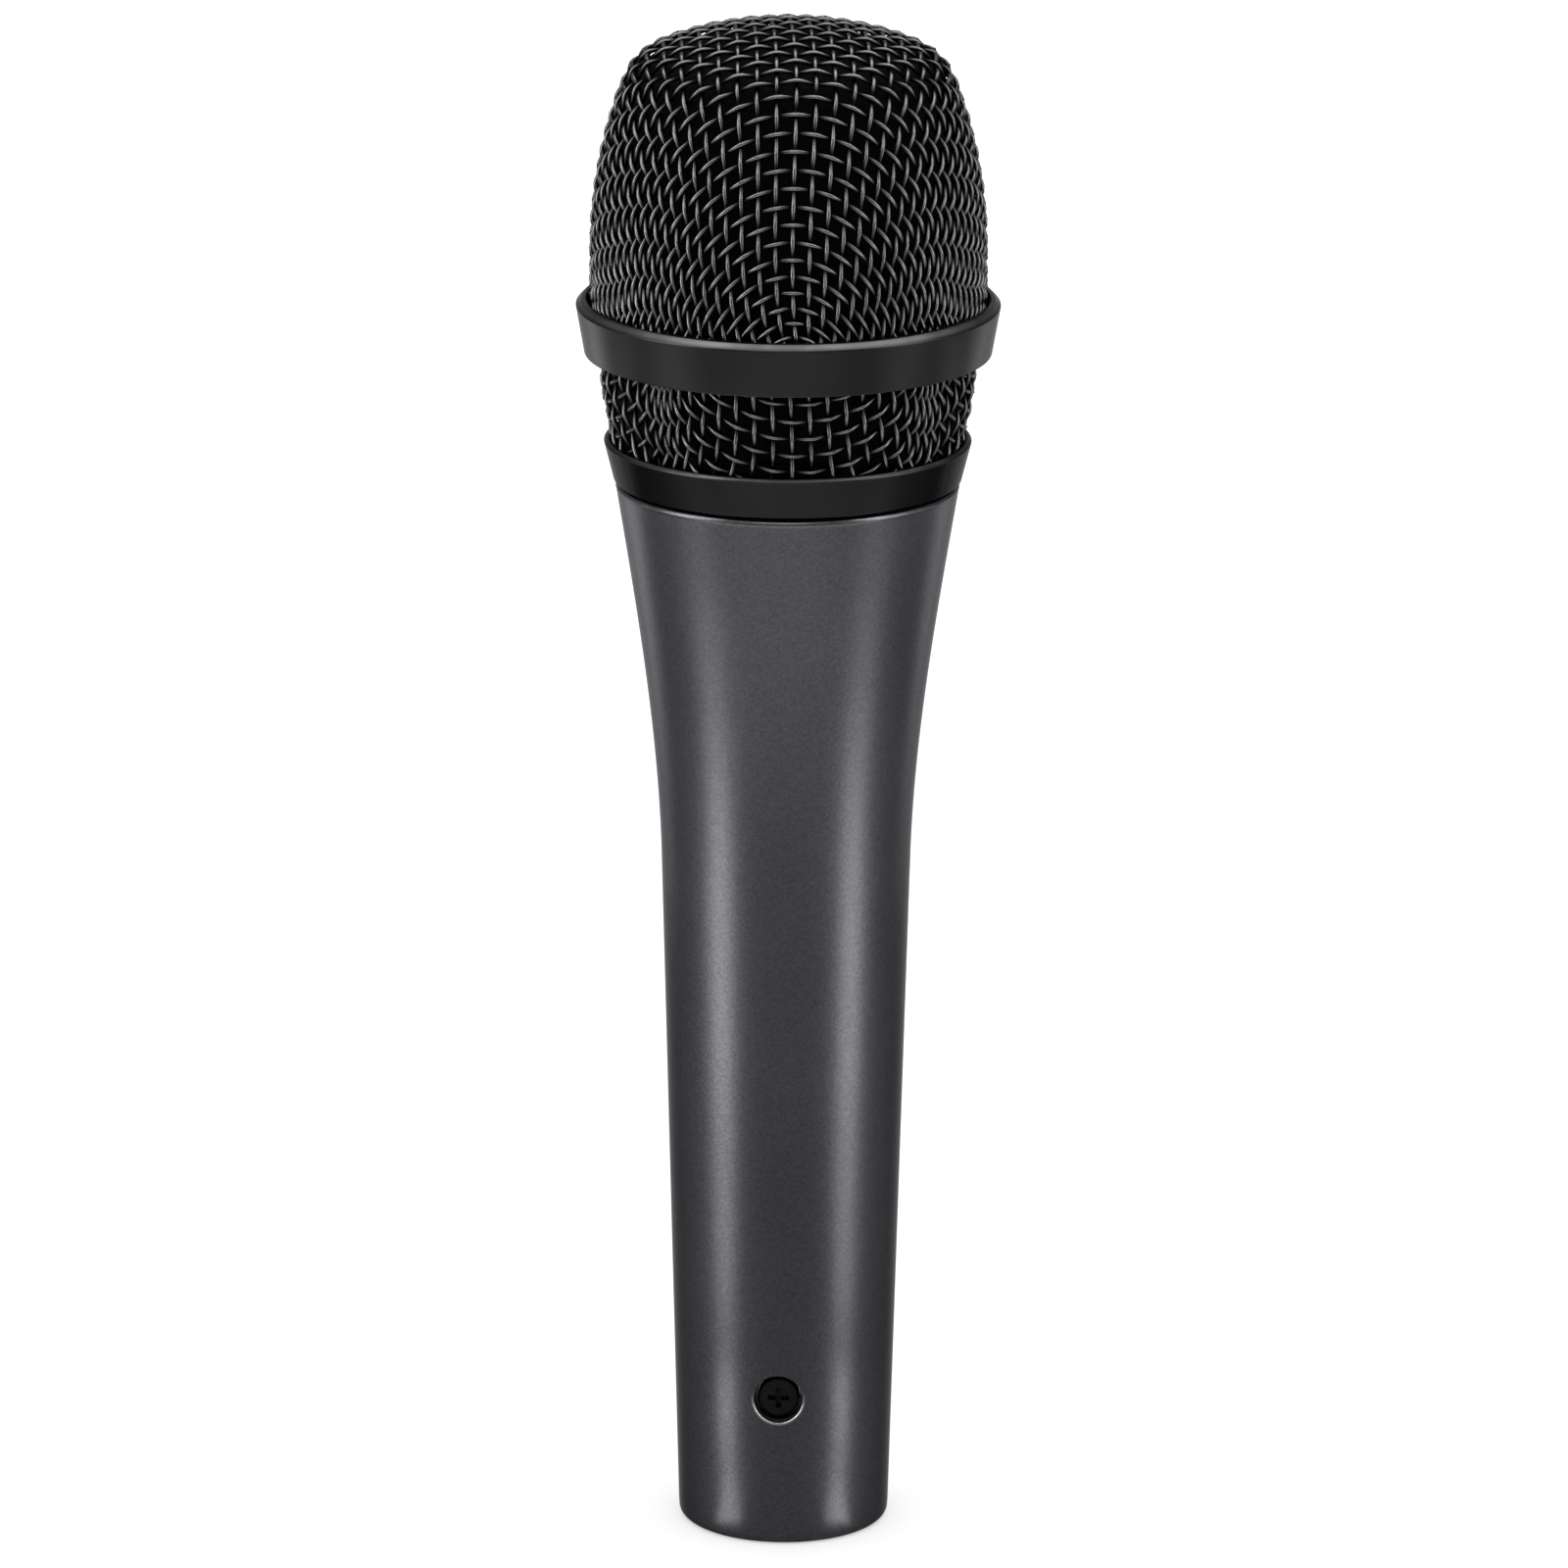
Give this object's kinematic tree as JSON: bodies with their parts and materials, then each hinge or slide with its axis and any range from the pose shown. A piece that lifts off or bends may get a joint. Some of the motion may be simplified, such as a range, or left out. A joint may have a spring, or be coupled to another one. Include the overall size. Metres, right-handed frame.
{
  "type": "handheld dynamic microphone",
  "caption": "Handheld dynamic vocal microphone: woven wire grille that screws off, flared handle, sprung capsule and a pin socket in the base.",
  "frame": {"origin": "centre of the flat base rim, on the microphone's axis", "axes": "+Z along the axis from the base up to the grille, -Y towards the recessed locking screw"},
  "size_m": [0.05, 0.05, 0.1839],
  "materials": {
    "handle": "satin",
    "grille_collar": "satin",
    "grille_ring": "satin",
    "lower_grille": "satin",
    "upper_grille": "satin",
    "upper_foam": "matte",
    "lower_foam": "matte",
    "neck_gasket": "matte",
    "shock_mount": "matte",
    "capsule_housing": "matte",
    "capsule_cover": "matte",
    "dust_screen": "matte",
    "diaphragm": "gloss",
    "diaphragm_rim": "satin",
    "voice_coil": "satin",
    "magnet": "satin",
    "magnet_yoke": "satin",
    "pole_plate": "satin",
    "terminal_board": "matte",
    "terminal_tab_hot": "satin",
    "terminal_tab_cold": "satin",
    "connector_sleeve": "satin",
    "connector_insulator": "matte",
    "contact_pin_1": "polished",
    "contact_pin_2": "polished",
    "contact_pin_3": "polished",
    "ground_spring": "satin",
    "locking_screw": "satin",
    "lock_washer": "satin",
    "wire_hot": "satin",
    "wire_cold": "satin"
  },
  "bodies": {
    "handle_body": {"handle": "handle", "neck_gasket": "neck_gasket", "shock_mount": "shock_mount", "connector_sleeve": "connector_sleeve", "connector_insulator": "connector_insulator", "contact_pin_1": "contact_pin_1", "contact_pin_2": "contact_pin_2", "contact_pin_3": "contact_pin_3", "ground_spring": "ground_spring", "wire_hot": "wire_hot", "wire_cold": "wire_cold"},
    "capsule": {"capsule_housing": "capsule_housing", "capsule_cover": "capsule_cover", "dust_screen": "dust_screen", "diaphragm": "diaphragm", "diaphragm_rim": "diaphragm_rim", "magnet": "magnet", "magnet_yoke": "magnet_yoke", "pole_plate": "pole_plate", "terminal_board": "terminal_board", "terminal_tab_hot": "terminal_tab_hot", "terminal_tab_cold": "terminal_tab_cold"},
    "coil": {"voice_coil": "voice_coil"},
    "grille_liner": {"upper_foam": "upper_foam", "lower_foam": "lower_foam"},
    "grille_head": {"upper_grille": "upper_grille", "grille_ring": "grille_ring", "lower_grille": "lower_grille", "grille_collar": "grille_collar"},
    "screw_washer": {"lock_washer": "lock_washer"},
    "screw": {"locking_screw": "locking_screw"}
  },
  "joints": [
    {"name": "grille_lift", "type": "slide", "parent": "handle_body", "child": "grille_liner", "axis": [0, 0, 1], "range_m": [0, 0.003]},
    {"name": "grille_turn", "type": "hinge", "parent": "grille_liner", "child": "grille_head", "pos_m": [0, 0, 0.1288], "axis": [0, 0, 1], "range_deg": [0, 720]},
    {"name": "screw_back_out", "type": "slide", "parent": "handle_body", "child": "screw_washer", "axis": [0, -1, 0], "range_m": [0, 0.002]},
    {"name": "screw_turn", "type": "hinge", "parent": "screw_washer", "child": "screw", "pos_m": [0, -0.012, 0.0185], "axis": [0, -1, 0], "range_deg": [0, 1440]},
    {"name": "capsule_float", "type": "slide", "parent": "handle_body", "child": "capsule", "axis": [0, 0, 1], "range_m": [-0.0008, 0.0008], "stiffness_N_per_m": 2000, "deforming": ["shock_mount", "wire_hot", "wire_cold"]},
    {"name": "coil_travel", "type": "slide", "parent": "capsule", "child": "coil", "axis": [0, 0, 1], "range_m": [-0.0004, 0.0004], "stiffness_N_per_m": 1000, "deforming": ["diaphragm"]}
  ],
  "couplings": [
    {"joint": "grille_lift", "follows": "grille_turn", "m_per_rad": 0.00023873},
    {"joint": "screw_turn", "follows": "screw_back_out", "rad_per_m": 12566}
  ]
}
